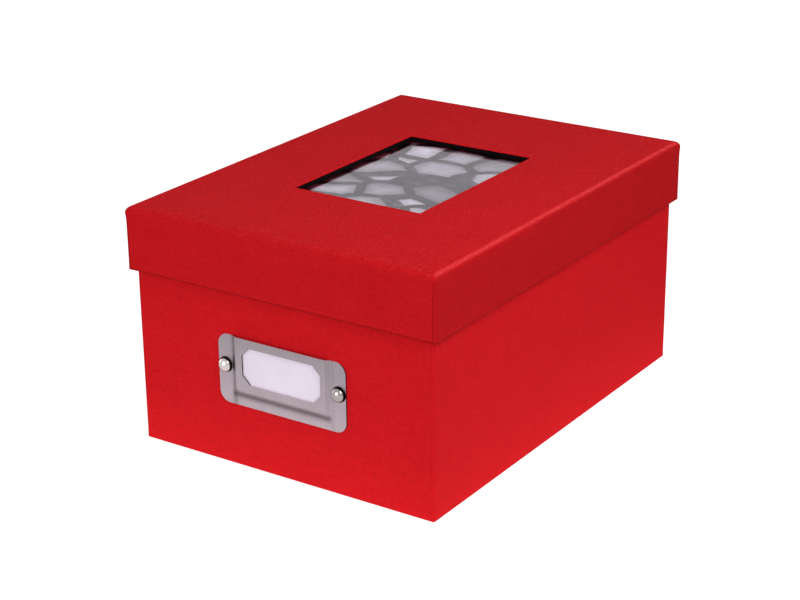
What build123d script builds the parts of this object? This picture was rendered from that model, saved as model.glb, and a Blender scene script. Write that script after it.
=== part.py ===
"""Cloth-covered photo storage box with a lift-off lid, a picture window in the lid and a stamped label holder.

Millimetres. X is the width, Y the length and Z is up. The label end faces -Y.
The origin is the middle of the footprint, on the surface that the box stands on.
"""

import math
import os

from build123d import *

# Overall sizes
base_width = 160.4
base_length = 217.0
box_height = 115.0
lid_skirt_depth = 30.2

# Sheet goods
board_thickness = 2.0
cloth_thickness = 0.35
lining_thickness = 0.15
stay_thickness = 0.15
bottom_sheet_thickness = 0.25

# Fits between the lid and the base
lid_side_clearance = 0.2
lid_rest_clearance = 0.1

# Softened edges, measured on the cloth
upright_edge_radius = 1.0
lid_upright_radius = 2.0
base_bottom_radius = 0.9
rim_radius = 0.8
lid_top_radius = 2.6
lid_lower_edge_radius = 0.5
window_edge_radius = 0.3

# Widths of what is folded and glued
rim_turn_in = 16.0
floor_turn_under = 15.0
lid_turn_in = 15.0
window_turn_in = 15.0
lining_setback = 3.0
lining_lap = 4.0
bottom_sheet_setback = 3.0
stay_leg = 18.0
stay_end_gap = 4.0

# Picture window in the lid and the pocket behind it
window_width = 69.0
window_length = 97.7
window_tape_thickness = 0.15
window_tape_setback = 0.3
pane_thickness = 0.25
photo_width = 89.0
photo_length = 127.0
photo_thickness = 0.25
photo_side_clearance = 0.5
photo_face_clearance = 0.08
spacer_thickness = 0.4
spacer_strip_width = 8.0
backing_thickness = 0.5
thumb_notch_radius = 11.0
pocket_lining_margin = 1.0

# Stamped label holder
holder_width = 69.5
holder_height = 33.3
holder_bottom = 30.9
holder_offset = 0.7
holder_thickness = 0.6
holder_corner_radius = 5.5
panel_half_width = 24.4
panel_front = 2.0
panel_step_run = 2.4
panel_step_bottom = 5.2
panel_corner_radius = 3.0
panel_edge_radius = 0.7
label_window_width = 42.8
label_window_height = 17.6
label_window_chamfer = 4.0
label_window_top_margin = 3.95
label_window_offset = 0.7

# Label card
card_thickness = 0.4
card_side_clearance = 0.6
card_top_inset = 1.0
card_back_clearance = 0.8
card_seat_clearance = 0.15

# Split-pin fasteners
brad_spacing = 62.0
brad_above_holder_edge = 18.35
brad_head_radius = 3.75
brad_head_height = 3.2
brad_shell = 0.35
brad_leg_width = 2.4
brad_leg_thickness = 0.4
brad_leg_length = 9.0
brad_hole_radius = 1.6

# Index dividers
divider_count = 5
divider_thickness = 0.5
divider_body_height = 97.0
divider_tab_height = 8.5
divider_tab_width = 30.0
divider_tab_slope = 2.5
divider_corner_radius = 3.0
divider_side_clearance = 1.2
divider_floor_clearance = 0.05

# Levels and faces that follow from the sizes above
reach = 2 * box_height
floor_under = bottom_sheet_thickness + cloth_thickness
floor_top = floor_under + board_thickness
floor_face = floor_top + lining_thickness
lid_board_top = box_height - cloth_thickness
lid_board_under = lid_board_top - board_thickness
rim_top = lid_board_under - lining_thickness - lid_rest_clearance
wall_top = rim_top - cloth_thickness
skirt_bottom = box_height - lid_skirt_depth
lid_wall_bottom = skirt_bottom + cloth_thickness

board_width = base_width - 2 * cloth_thickness
board_length = base_length - 2 * cloth_thickness
inner_width = board_width - 2 * board_thickness
inner_length = board_length - 2 * board_thickness
clear_width = inner_width - 2 * (cloth_thickness + lining_thickness)
clear_length = inner_length - 2 * (cloth_thickness + lining_thickness)

lid_inner_width = base_width + 2 * (lid_side_clearance + lining_thickness + cloth_thickness)
lid_inner_length = base_length + 2 * (lid_side_clearance + lining_thickness + cloth_thickness)
lid_board_width = lid_inner_width + 2 * board_thickness
lid_board_length = lid_inner_length + 2 * board_thickness
lid_width = lid_board_width + 2 * cloth_thickness
lid_length = lid_board_length + 2 * cloth_thickness

pane_under = lid_board_under - cloth_thickness - pane_thickness
spacer_under = pane_under - spacer_thickness
backing_under = spacer_under - backing_thickness
pocket_width = photo_width + 2 * (photo_side_clearance + spacer_strip_width)
pocket_end = photo_length / 2 + photo_side_clearance
pocket_length = 2 * pocket_end + spacer_strip_width
pocket_centre = -spacer_strip_width / 2

label_face = -base_length / 2
brad_height = holder_bottom + brad_above_holder_edge


def block(width, length, bottom, top):
    """A sharp-edged block round the vertical axis, between two levels."""
    solid = Box(width, length, top - bottom, align=(Align.CENTER, Align.CENTER, Align.MIN))
    return Pos(0, 0, bottom) * solid


def soft_block(width, length, bottom, top, upright, lower=0, upper=0):
    """A block with its upright, lower and upper edges rounded."""
    solid = block(width, length, bottom, top)
    solid = fillet(solid.edges().filter_by(Axis.Z), upright)
    if lower > 0:
        solid = fillet(solid.faces().sort_by(Axis.Z)[0].edges(), lower)
    if upper > 0:
        solid = fillet(solid.faces().sort_by(Axis.Z)[-1].edges(), upper)
    return solid


def board_easing(cloth_radius):
    """The bevel on a board that leaves the cloth its full thickness over the middle of a rounded edge."""
    return (2 - math.sqrt(2)) * (cloth_radius - cloth_thickness)


def eased_block(width, length, bottom, top, upright, lower=0, upper=0):
    """A block with its upright, lower and upper edges bevelled."""
    solid = block(width, length, bottom, top)
    if lower > 0:
        solid = chamfer(solid.faces().sort_by(Axis.Z)[0].edges(), lower)
    if upper > 0:
        solid = chamfer(solid.faces().sort_by(Axis.Z)[-1].edges(), upper)
    sides = block(width, length, bottom, top)
    return solid & chamfer(sides.edges().filter_by(Axis.Z), upright)


def ring(outer_width, outer_length, wall, bottom, top):
    """A sharp rectangular ring, thin or thick, between two levels."""
    inner = block(outer_width - 2 * wall, outer_length - 2 * wall, bottom - 1, top + 1)
    return block(outer_width, outer_length, bottom, top) - inner


def slab(x_low, x_high, y_low, y_high, bottom, top):
    """A block between given faces."""
    solid = Box(x_high - x_low, y_high - y_low, top - bottom, align=(Align.MIN, Align.MIN, Align.MIN))
    return Pos(x_low, y_low, bottom) * solid


def one_solid(shape):
    """The only solid of a shape, which must have one."""
    solids = shape.solids()
    if len(solids) != 1:
        raise ValueError(f"{len(solids)} solids where one was meant")
    return solids[0]


def wall_regions(inside_width, inside_length):
    """Where the four walls lie. The end walls run the full width, and the side walls fit between them."""
    x_in = inside_width / 2
    y_in = inside_length / 2
    return {
        "front": slab(-reach, reach, -reach, -y_in, -reach, reach),
        "back": slab(-reach, reach, y_in, reach, -reach, reach),
        "left": slab(-reach, -x_in, -y_in, y_in, -reach, reach),
        "right": slab(x_in, reach, -y_in, y_in, -reach, reach),
    }


def corner_regions(width, length):
    """Where the paper angles lie, one leg's length in from each corner."""
    regions = {}
    for end, y_sign in (("front", -1), ("back", 1)):
        for side, x_sign in (("left", -1), ("right", 1)):
            region = Box(2 * stay_leg, 2 * stay_leg, 2 * reach)
            regions[f"{end}_{side}"] = Pos(x_sign * width / 2, y_sign * length / 2, 0) * region
    return regions


def brad_positions():
    """The two fasteners, left and right, as x values."""
    return {"left": holder_offset - brad_spacing / 2, "right": holder_offset + brad_spacing / 2}


def brad_bores():
    """Round holes along the length axis, through everything at the label end."""
    length = 8 * board_thickness + 2 * panel_front
    bore = Cylinder(brad_hole_radius, length, rotation=(90, 0, 0))
    left, right = (Pos(x, label_face, brad_height) * bore for x in brad_positions().values())
    return left + right


# Base


def base_board_block():
    """The outside of the base's boards, without the cloth."""
    return eased_block(
        board_width,
        board_length,
        floor_under,
        wall_top,
        board_easing(upright_edge_radius),
        lower=board_easing(base_bottom_radius),
        upper=board_easing(rim_radius),
    )


def base_boards():
    """Four wall boards and the floor board that they stand round."""
    walls = base_board_block() - block(inner_width, inner_length, -reach, reach)
    bores = brad_bores()
    boards = {}
    for side, region in wall_regions(inner_width, inner_length).items():
        board = walls & region
        if side == "front":
            board = board - bores
        boards[f"base_{side}_board"] = one_solid(board)
    boards["base_floor_board"] = one_solid(block(inner_width, inner_length, floor_under, floor_top))
    return boards


def base_corner_stays():
    """Paper angles glued over the upright corners, under the cloth."""
    tape = eased_block(
        board_width + 2 * stay_thickness,
        board_length + 2 * stay_thickness,
        floor_under + stay_end_gap,
        wall_top - stay_end_gap,
        board_easing(upright_edge_radius) + (2 - math.sqrt(2)) * stay_thickness,
    )
    tape = tape - base_board_block()
    return {
        f"base_corner_stay_{corner}": one_solid(tape & region)
        for corner, region in corner_regions(board_width, board_length).items()
    }


def base_wall_cloth(stays):
    """One strip round the walls: over the rim and down inside, and under the floor's edge."""
    outside = soft_block(
        base_width,
        base_length,
        bottom_sheet_thickness,
        rim_top,
        upright_edge_radius,
        lower=base_bottom_radius,
        upper=rim_radius,
    )
    opening = block(inner_width - 2 * cloth_thickness, inner_length - 2 * cloth_thickness, wall_top, rim_top + 1)
    under_opening = block(
        base_width - 2 * floor_turn_under,
        base_length - 2 * floor_turn_under,
        -1,
        floor_under + 1,
    )
    turn_in = ring(inner_width, inner_length, cloth_thickness, rim_top - rim_turn_in, wall_top)
    cloth = outside - base_board_block() - opening - under_opening + turn_in
    cloth = cloth - brad_bores()
    for stay in stays.values():
        cloth = cloth - stay
    rim_edge = cloth.faces().sort_by(Axis.Z)[-1].inner_wires()[0].edges()
    return one_solid(fillet(rim_edge, cloth_thickness * 0.8))


def base_bottom_sheet():
    """The sheet under the box. It steps up from the turned-under cloth to the floor board."""
    sheet_width = base_width - 2 * bottom_sheet_setback
    sheet_length = base_length - 2 * bottom_sheet_setback
    well_width = base_width - 2 * floor_turn_under
    well_length = base_length - 2 * floor_turn_under
    rim_strip = ring(
        sheet_width,
        sheet_length,
        floor_turn_under - bottom_sheet_setback + bottom_sheet_thickness,
        0,
        bottom_sheet_thickness,
    )
    raised = block(well_width, well_length, floor_under - bottom_sheet_thickness, floor_under)
    step = ring(well_width, well_length, bottom_sheet_thickness, 0, floor_under)
    return one_solid(rim_strip + step + raised)


def base_wall_lining():
    """Paper round the inside. It laps over the cloth that is turned in at the rim."""
    turn_in_end = rim_top - rim_turn_in
    lap_width = inner_width - 2 * cloth_thickness
    lap_length = inner_length - 2 * cloth_thickness
    lower = ring(inner_width, inner_length, lining_thickness, floor_top, turn_in_end)
    step = ring(
        inner_width,
        inner_length,
        cloth_thickness + lining_thickness,
        turn_in_end - lining_thickness,
        turn_in_end,
    )
    upper = ring(lap_width, lap_length, lining_thickness, turn_in_end - lining_thickness, rim_top - lining_setback)
    return one_solid(lower + step + upper - brad_bores())


def base_floor_lining():
    """Paper on the floor, inside the wall lining."""
    width = inner_width - 2 * lining_thickness
    length = inner_length - 2 * lining_thickness
    return one_solid(block(width, length, floor_top, floor_face))


# Label holder


def holder_plane():
    """The wall behind the holder: x across, y up from the holder's lower edge, z out of the wall."""
    return Plane(origin=(holder_offset, label_face, holder_bottom), x_dir=(1, 0, 0), z_dir=(0, -1, 0))


def panel_slope():
    """The run of the stamped step for each millimetre that it rises."""
    return panel_step_run / (panel_front - holder_thickness)


def panel_half(height):
    """Half the width of the panel's outside, at a height off the wall."""
    return panel_half_width + (panel_front - height) * panel_slope()


def panel_lower(height):
    """The lower end of the panel's outside, at a height off the wall, up from the holder's lower edge."""
    return panel_step_bottom + (height - holder_thickness) * panel_slope()


def panel_wall_shift():
    """How far the inside of the sloping step lies in from its outside, measured along the wall."""
    return holder_thickness * math.hypot(1, panel_slope())


def raised_panel(inset, low, high):
    """The stamped panel between two heights off the wall, mirrored past the holder's open top edge."""
    sections = []
    for height in (low, high):
        width = 2 * (panel_half(height) - inset)
        tall = 2 * (holder_height - panel_lower(height) - inset)
        outline = RectangleRounded(width, tall, panel_corner_radius)
        sections.append(Pos(0, holder_height, height) * outline)
    return loft(sections)


def label_window():
    """The eight-sided window's outline, on the holder's own plane."""
    outline = chamfer(Rectangle(label_window_width, label_window_height).vertices(), label_window_chamfer)
    middle = holder_height - label_window_top_margin - label_window_height / 2
    return Pos(label_window_offset, middle, 0) * outline


def label_holder():
    """A plate with a panel stamped outwards, open at the top, and a window in the panel."""
    plate = Pos(0, holder_height, 0) * Box(
        2 * holder_width, 4 * holder_height, holder_thickness, align=(Align.CENTER, Align.CENTER, Align.MIN)
    )
    stamped = plate + raised_panel(0, 0, panel_front)
    soft_edges = [
        edge
        for height in (holder_thickness, panel_front)
        for edge in stamped.edges().filter_by_position(Axis.Z, height - 0.01, height + 0.01)
        if abs(edge.center().X) < 0.75 * holder_width and 0 < edge.center().Y < 2 * holder_height
    ]
    stamped = fillet(soft_edges, panel_edge_radius)
    cavity = raised_panel(panel_wall_shift(), 0, panel_front - holder_thickness)
    cavity = cavity + Pos(0, 0, -1) * extrude(cavity.faces().sort_by(Axis.Z)[0], 1)
    outline = Pos(0, holder_height / 2, 0) * RectangleRounded(holder_width, holder_height, holder_corner_radius)
    holder = (stamped - cavity) & extrude(outline, 2 * panel_front)
    holder = holder - extrude(label_window(), 2 * panel_front)
    return one_solid(holder_plane() * holder - brad_bores())


def label_card():
    """The card stands in the holder on the lower step, with its lower corners rounded like the step's."""
    front = card_back_clearance + card_thickness
    width = 2 * (panel_half(front) - panel_wall_shift() - card_side_clearance)
    bottom = panel_lower(front) + panel_wall_shift() + card_seat_clearance
    top = holder_height - card_top_inset
    card = Box(width, top - bottom, card_thickness, align=(Align.CENTER, Align.MIN, Align.MIN))
    lower_corners = card.edges().filter_by(Axis.Z).group_by(Axis.Y)[0]
    card = fillet(lower_corners, panel_corner_radius)
    return one_solid(holder_plane() * Pos(0, bottom, card_back_clearance) * card)


# Split-pin fasteners


def brad(x):
    """A domed head on the holder, two flat legs through the wall, and their ends folded up and down inside."""
    sphere_radius = (brad_head_radius**2 + brad_head_height**2) / (2 * brad_head_height)
    ball = Pos(0, 0, brad_head_height - sphere_radius) * Sphere(sphere_radius)
    inner_ball = Pos(0, 0, brad_head_height - sphere_radius) * Sphere(sphere_radius - brad_shell)
    above = Box(
        4 * sphere_radius, 4 * sphere_radius, 2 * brad_head_height, align=(Align.CENTER, Align.CENTER, Align.MIN)
    )
    head = (ball - inner_ball) & above
    through = board_thickness + cloth_thickness + lining_thickness + holder_thickness
    fold = through + brad_leg_thickness
    shank = Pos(0, 0, brad_head_height - brad_shell) * Box(
        brad_leg_width,
        2 * brad_leg_thickness,
        fold + brad_head_height - brad_shell,
        align=(Align.CENTER, Align.CENTER, Align.MAX),
    )
    legs = Pos(0, 0, -through) * Box(
        brad_leg_width,
        2 * brad_leg_length,
        brad_leg_thickness,
        align=(Align.CENTER, Align.CENTER, Align.MAX),
    )
    legs = fillet(legs.edges().filter_by(Axis.Z), 0.45 * brad_leg_width)
    seat = Plane(
        origin=(x, label_face - holder_thickness, brad_height),
        x_dir=(1, 0, 0),
        z_dir=(0, -1, 0),
    )
    return one_solid(seat * (head + shank + legs))


# Lid


def lid_board_block():
    """The outside of the lid's boards, without the cloth."""
    return eased_block(
        lid_board_width,
        lid_board_length,
        lid_wall_bottom,
        lid_board_top,
        board_easing(lid_upright_radius),
        upper=board_easing(lid_top_radius),
    )


def lid_boards():
    """The top board with the window cut through it, and the four rim boards under its edge."""
    block_of_board = lid_board_block()
    window = block(window_width + 2 * cloth_thickness, window_length + 2 * cloth_thickness, -reach, reach)
    top = block_of_board & block(2 * reach, 2 * reach, lid_board_under, 2 * reach)
    boards = {"lid_top_board": one_solid(top - window)}
    rims = block_of_board - block(lid_inner_width, lid_inner_length, -reach, reach)
    rims = rims & block(2 * reach, 2 * reach, -reach, lid_board_under)
    for side, region in wall_regions(lid_inner_width, lid_inner_length).items():
        boards[f"lid_{side}_board"] = one_solid(rims & region)
    return boards


def lid_corner_stays():
    """Paper angles glued over the lid's upright corners, under the cloth."""
    tape = eased_block(
        lid_board_width + 2 * stay_thickness,
        lid_board_length + 2 * stay_thickness,
        lid_wall_bottom + stay_end_gap / 2,
        lid_board_top - lid_top_radius - stay_end_gap / 2,
        board_easing(lid_upright_radius) + (2 - math.sqrt(2)) * stay_thickness,
    )
    tape = tape - lid_board_block()
    return {
        f"lid_corner_stay_{corner}": one_solid(tape & region)
        for corner, region in corner_regions(lid_board_width, lid_board_length).items()
    }


def lid_cloth(stays):
    """One piece over the top and down the skirt, turned in at the lower edge and through the window."""
    outside = soft_block(
        lid_width,
        lid_length,
        skirt_bottom,
        box_height,
        lid_upright_radius,
        lower=lid_lower_edge_radius,
        upper=lid_top_radius,
    )
    inside_width = lid_inner_width - 2 * cloth_thickness
    inside_length = lid_inner_length - 2 * cloth_thickness
    mouth = block(inside_width, inside_length, -reach, lid_wall_bottom)
    turn_in = ring(
        lid_inner_width, lid_inner_length, cloth_thickness, lid_wall_bottom, skirt_bottom + lid_turn_in
    )
    cloth = outside - lid_board_block() - mouth + turn_in
    hole_width = window_width + 2 * cloth_thickness
    hole_length = window_length + 2 * cloth_thickness
    wrap = block(hole_width, hole_length, lid_board_under - cloth_thickness, lid_board_top)
    flaps = block(
        hole_width + 2 * window_turn_in,
        hole_length + 2 * window_turn_in,
        lid_board_under - cloth_thickness,
        lid_board_under,
    )
    opening = block(window_width, window_length, lid_board_under - 1, box_height + 1)
    cloth = cloth + wrap + flaps - opening
    for stay in stays.values():
        cloth = cloth - stay
    window_edge = cloth.faces().sort_by(Axis.Z)[-1].inner_wires()[0].edges()
    return one_solid(fillet(window_edge, window_edge_radius))


def lid_lining():
    """Paper under the top board, open round the pocket, and down the rims over the turned-in cloth."""
    pocket = Pos(0, pocket_centre, 0) * block(
        max(pocket_width, window_width + 2 * window_turn_in) + 2 * pocket_lining_margin,
        max(pocket_length, window_length + 2 * window_turn_in - 2 * pocket_centre) + 2 * pocket_lining_margin,
        -reach,
        reach,
    )
    sheet = block(lid_inner_width, lid_inner_length, lid_board_under - lining_thickness, lid_board_under)
    turn_in_end = skirt_bottom + lid_turn_in
    wall = ring(lid_inner_width, lid_inner_length, lining_thickness, turn_in_end, lid_board_under)
    step = ring(
        lid_inner_width,
        lid_inner_length,
        cloth_thickness + lining_thickness,
        turn_in_end,
        turn_in_end + lining_thickness,
    )
    lap = ring(
        lid_inner_width - 2 * cloth_thickness,
        lid_inner_length - 2 * cloth_thickness,
        lining_thickness,
        turn_in_end - lining_lap,
        turn_in_end + lining_thickness,
    )
    return one_solid(sheet - pocket + wall + step + lap)


# Pocket behind the window


def window_edge_tape():
    """Black paper tape round the window's cut edge, over the turned-in cloth and down to the pane."""
    pane_top = pane_under + pane_thickness
    tape_top = box_height - window_edge_radius - window_tape_setback
    return one_solid(ring(window_width, window_length, window_tape_thickness, pane_top, tape_top))


def pocket_sheet(bottom, top):
    """A sheet of the pocket's own outline. Its closed end is towards the label end."""
    return Pos(0, pocket_centre, 0) * block(pocket_width, pocket_length, bottom, top)


def window_pane():
    """Clear film glued under the cloth that is turned in round the window."""
    return one_solid(pocket_sheet(pane_under, pane_under + pane_thickness))


def pocket_spacer():
    """A U of thin card on three sides of the picture, open towards the back."""
    room = slab(
        -photo_width / 2 - photo_side_clearance,
        photo_width / 2 + photo_side_clearance,
        -pocket_end,
        reach,
        -reach,
        reach,
    )
    return one_solid(pocket_sheet(spacer_under, pane_under) - room)


def pocket_backing():
    """Card that closes the pocket from below, with a thumb notch at its open end."""
    notch = Pos(0, pocket_end, 0) * Cylinder(thumb_notch_radius, 4 * reach)
    return one_solid(pocket_sheet(backing_under, spacer_under) - notch)


def photo_insert():
    """The print in the pocket."""
    top = pane_under - photo_face_clearance
    return one_solid(block(photo_width, photo_length, top - photo_thickness, top))


# Index dividers


def divider_pitch():
    """The space from one divider to the next, with the end walls as the first and last."""
    return clear_length / (divider_count + 1)


def index_divider(number):
    """A card with a tab. The tabs step from left to right along the row."""
    card_width = clear_width - 2 * divider_side_clearance
    tab_room = card_width - divider_tab_width - 2 * (divider_corner_radius + divider_tab_slope)
    step = tab_room / max(divider_count - 1, 1)
    tab_middle = -tab_room / 2 + number * step
    body_outline = Pos(0, divider_body_height / 2) * RectangleRounded(
        card_width, divider_body_height, divider_corner_radius
    )
    base_half = divider_tab_width / 2 + divider_tab_slope
    tab_half = divider_tab_width / 2
    tab_top = divider_body_height + divider_tab_height
    tab_outline = Pos(tab_middle, 0) * make_face(
        Polyline(
            (-base_half, divider_body_height - 1),
            (-base_half, divider_body_height),
            (-tab_half, tab_top),
            (tab_half, tab_top),
            (base_half, divider_body_height),
            (base_half, divider_body_height - 1),
            close=True,
        )
    )
    card = extrude(body_outline + tab_outline, divider_thickness)
    upper_corners = card.edges().filter_by(Axis.Z).group_by(Axis.Y)[-1]
    card = fillet(upper_corners, divider_corner_radius / 2)
    place = Plane(
        origin=(
            0,
            -clear_length / 2 + (number + 1) * divider_pitch() + divider_thickness / 2,
            floor_face + divider_floor_clearance,
        ),
        x_dir=(1, 0, 0),
        z_dir=(0, -1, 0),
    )
    return one_solid(place * card)


def build():
    """Every piece of the box by its node name."""
    base_stays = base_corner_stays()
    lid_stays = lid_corner_stays()
    pieces = {}
    pieces.update(base_boards())
    pieces.update(base_stays)
    pieces["base_wall_cloth"] = base_wall_cloth(base_stays)
    pieces["base_bottom_sheet"] = base_bottom_sheet()
    pieces["base_wall_lining"] = base_wall_lining()
    pieces["base_floor_lining"] = base_floor_lining()
    pieces["label_holder"] = label_holder()
    pieces["label_card"] = label_card()
    for side, x in brad_positions().items():
        pieces[f"brad_{side}"] = brad(x)
    pieces.update(lid_boards())
    pieces.update(lid_stays)
    pieces["lid_cloth"] = lid_cloth(lid_stays)
    pieces["lid_lining"] = lid_lining()
    pieces["window_edge_tape"] = window_edge_tape()
    pieces["window_pane"] = window_pane()
    pieces["pocket_spacer"] = pocket_spacer()
    pieces["pocket_backing"] = pocket_backing()
    pieces["photo_insert"] = photo_insert()
    for number in range(divider_count):
        pieces[f"index_divider_{number + 1}"] = index_divider(number)
    return pieces


def print_limits():
    """The travels that the joints use, worked out from the sizes."""
    card_top = holder_bottom + holder_height - card_top_inset
    print(f"label card may rise {skirt_bottom - card_top:.2f} mm before it meets the lid")
    photo_room = clear_length / 2 - photo_length / 2
    print(f"print may slide {photo_room:.2f} mm before it meets the end wall")
    print(f"dividers stand {divider_pitch():.2f} mm apart")
    print(f"lid {lid_width:.2f} x {lid_length:.2f} mm, skirt from {skirt_bottom:.2f} mm")
    print(f"rim at {rim_top:.2f} mm, floor at {floor_face:.2f} mm, pocket under at {backing_under:.2f} mm")


def main():
    os.makedirs("parts", exist_ok=True)
    for name, solid in build().items():
        solid.label = name
        export_step(solid, f"parts/{name}.step")
    print_limits()


main()
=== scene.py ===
"""Looks of a photo storage box in red bookcloth, with a picture window in its lid and a label holder.

Blender works in metres here. Sizes below are in millimetres, except where a heading says metres, and MM
turns them into metres.
"""

import math

import bpy
from mathutils import Euler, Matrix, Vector, noise


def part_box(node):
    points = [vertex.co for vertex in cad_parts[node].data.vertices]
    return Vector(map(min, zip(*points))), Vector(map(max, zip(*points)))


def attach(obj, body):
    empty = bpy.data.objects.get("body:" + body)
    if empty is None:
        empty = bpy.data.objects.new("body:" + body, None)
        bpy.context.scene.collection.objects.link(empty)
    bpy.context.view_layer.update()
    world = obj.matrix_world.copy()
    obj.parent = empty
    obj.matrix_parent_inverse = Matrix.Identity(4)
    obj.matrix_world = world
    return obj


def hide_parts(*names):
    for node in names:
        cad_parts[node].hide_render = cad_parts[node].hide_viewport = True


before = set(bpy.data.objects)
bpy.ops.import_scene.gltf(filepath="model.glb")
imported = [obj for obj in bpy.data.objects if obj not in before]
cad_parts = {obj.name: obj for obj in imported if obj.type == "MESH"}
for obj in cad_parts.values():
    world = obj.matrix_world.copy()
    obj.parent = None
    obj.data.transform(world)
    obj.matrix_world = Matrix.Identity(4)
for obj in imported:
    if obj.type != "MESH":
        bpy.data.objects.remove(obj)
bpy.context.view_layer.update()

MM = 0.001

# Camera, as the photograph was taken, with its place and clipping in metres
CAMERA_PLACE = (0.48792, -0.73795, 0.39772)
CAMERA_TURN_DEG = (68.557, 0.553, 33.762)
CAMERA_LENS_MM = 88.635
SENSOR_WIDTH_MM = 36.0
CAMERA_CLIP = (0.01, 50.0)

# Ranges of noise that tones are mapped from, narrow to wide, and one for two noises added up
MOST_NOISE = (0.3, 0.7)
MORE_NOISE = (0.25, 0.75)
ALL_NOISE = (0.2, 0.8)
TWO_NOISES = (0.7, 1.3)

# Weave of the cloth
CLOTH_RED = (0.595, 0.0066, 0.0108)
CLOTH_GLOSS = 0.04
CLOTH_ROUGHNESS = (0.72, 0.86)
CLOTH_RELIEF = 0.03
THREAD_PITCH = 0.5
THREAD_LEAN = 0.35
# Painted shade in the weave's hollows and painted highlight on its crests
THREAD_SHADE_AND_HIGHLIGHT = (-0.10, 0.05)
THREAD_WANDER = 0.35
WANDER_SIZE = 9.0
FACE_SHARPNESS = 4.0
SLUB_SIZE = 0.5
SLUB_STRETCH = 5.0
LEVEL_SLUBS = 0.4
UPRIGHT_SLUBS = 0.2
SLUB_CONTRAST = 0.11
SLUB_RELIEF = 0.6
STREAK_SIZE = 1.1
STREAK_STRETCH = 8.0
STREAK_CONTRAST = 0.065
PATCH_SIZE = 22.0
PATCH_CONTRAST = 0.022

# Pale colour of the threads for a painted highlight along the lid's long top edges, broken up by noise, for
# pale fibres, and for painted glints that are mostly on the faces that look up
PALE_THREAD_AND_HIGHLIGHT = (0.115, 0.0265, 0.027)
HIGHLIGHT_BREAKUP_SIZE = 1.4
HIGHLIGHT_BREAKUP_NOISE = (0.32, 0.68)
HIGHLIGHT_BREAKUP_SHARES = (0.35, 1.9)
PALE_FIBRE = 0.2
PALE_FIBRE_NOISE = (0.45, 0.75)
# Painted glints: pale points, mostly on the faces that look up
GLINT = 0.5
GLINT_SIZE = 0.85
GLINT_STRETCH = (1.2, 1.9, 1.0)
GLINT_NOISE = (0.5, 0.72)
LOOKING_UP = (0.5, 0.9)
GLINT_ELSEWHERE = 0.12

# What a cover's mesh tells its material at each point: its painted shade and its painted highlight
PAINTED_SHADE_MARK = "cloth_tone"
# Mark of a painted highlight
HIGHLIGHT_MARK = "cloth_highlight_and_fibres"

# Folded covers of cloth
CLOTH_THICKNESS = 0.35
CLOTH_WAVINESS = 0.06
WAVE_SIZE = 24.0
WAVE_SEED = 3.7
# Share of a crease's painted shade that falls beside it
BESIDE_CREASE = 0.75
SHARP_CORNER = 0.3

# Points round a cover: their distances from a corner, and the steps of its middle parts and corners
LAP_WIDTH = 0.15
FROM_CORNER = (0.0, LAP_WIDTH, 0.6, 1.2, 2.5, 4.0, 6.0, 9.0)
ACROSS_STEPS = 40
ALONG_STEPS = 54
CORNER_STEPS = 6

# Painted light on a cover: the painted shade of its end faces, that of its long faces, and a painted
# highlight on its long faces
PLAIN = (1.0, 1.0, 0.0)
# Painted shade on the lid's skirt, darker on its long faces
SKIRT_SHADE = (0.9, 0.77, 0.0)
# Painted shadow along the lid's lower edge
LOWER_EDGE_SHADOW = (0.6, 0.62, 0.0)

# Painted light round the lid's top edge. The first number is a painted shade on its ends, most of all half
# way round, and the
# others are shares of the way round: where a painted shade on its long faces starts, how far it grows, and
# where a painted highlight is brightest
ROUND_END_TONE = 0.93
DARKER_FROM = 0.45
DARKENS_OVER = 0.35
BRIGHTEST_AT = 0.33

# Lid, measured on the cloth
LID_TOP_RADIUS = 3.0
LID_CORNER_RADIUS = 1.5
LID_TOP_CORNER_RADIUS = 1.0
LID_LOWER_RADIUS = 0.5
LID_LAP = 0.12
# Painted shade in the crease where a lap ends
LID_CREASE = 0.38
LID_TURN_IN = 15.0
LID_TOP_DIP = 0.10
SKIRT_DROPS = (0.4, 1.2, 2.4, 4.0)
WINDOW_EDGE_RADIUS = 0.45
WINDOW_CORNER_RADIUS = 0.5
WINDOW_WALL_MARGIN = 0.8
WINDOW_FLAP = 15.0
FLAP_BEND = ((0.5, 0.0), (0.1, 0.08), (0.0, 0.3))

# Rounding of the hidden top board, which keeps it clear of the cloth's rounded edges
BOARD_EASING = 1.3
BOARD_EASING_SEGMENTS = 3
BOARD_EASING_ANGLE_DEG = 20
BOARD_JOIN_GAP = 0.01

# Base, measured on the cloth
BASE_RIM_RADIUS = 0.8
BASE_INNER_RIM_RADIUS = 0.35
BASE_LOWER_RADIUS = 0.9
BASE_CORNER_RADIUS = 1.0
BASE_LAP = 0.08
# Painted shade in the crease where a lap ends
BASE_CREASE = 0.08
RIM_TURN_IN = 16.0
FLOOR_TURN_UNDER = 15.0

# Paper and card
FIBRE_STRETCH = (2.5, 1.0, 1.6)
PAPER_CLOUD_SIZE = 14.0
PAPER_CLOUD_TONES = (0.975, 1.02)
PAPER_ROUGHNESS = (0.74, 0.86)
PAPER_RELIEF = 0.01

# Steel of the label holder
STEEL = (0.401, 0.339, 0.374)
STEEL_ROUGHNESS = (0.34, 0.46)
STEEL_CLOUD_SIZE = 9.0
STEEL_CLOUD_TONES = (0.96, 1.03)
BRUSH_SIZE = 0.12
BRUSH_STRETCH = 60.0
BRUSH_TONES = (0.93, 1.06)
METAL_RELIEF = 0.004
# Tones from the bottom of the holder to its top, darker towards the top
BOTTOM_TO_TOP_TONES = (0.92, 0.66)

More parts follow.
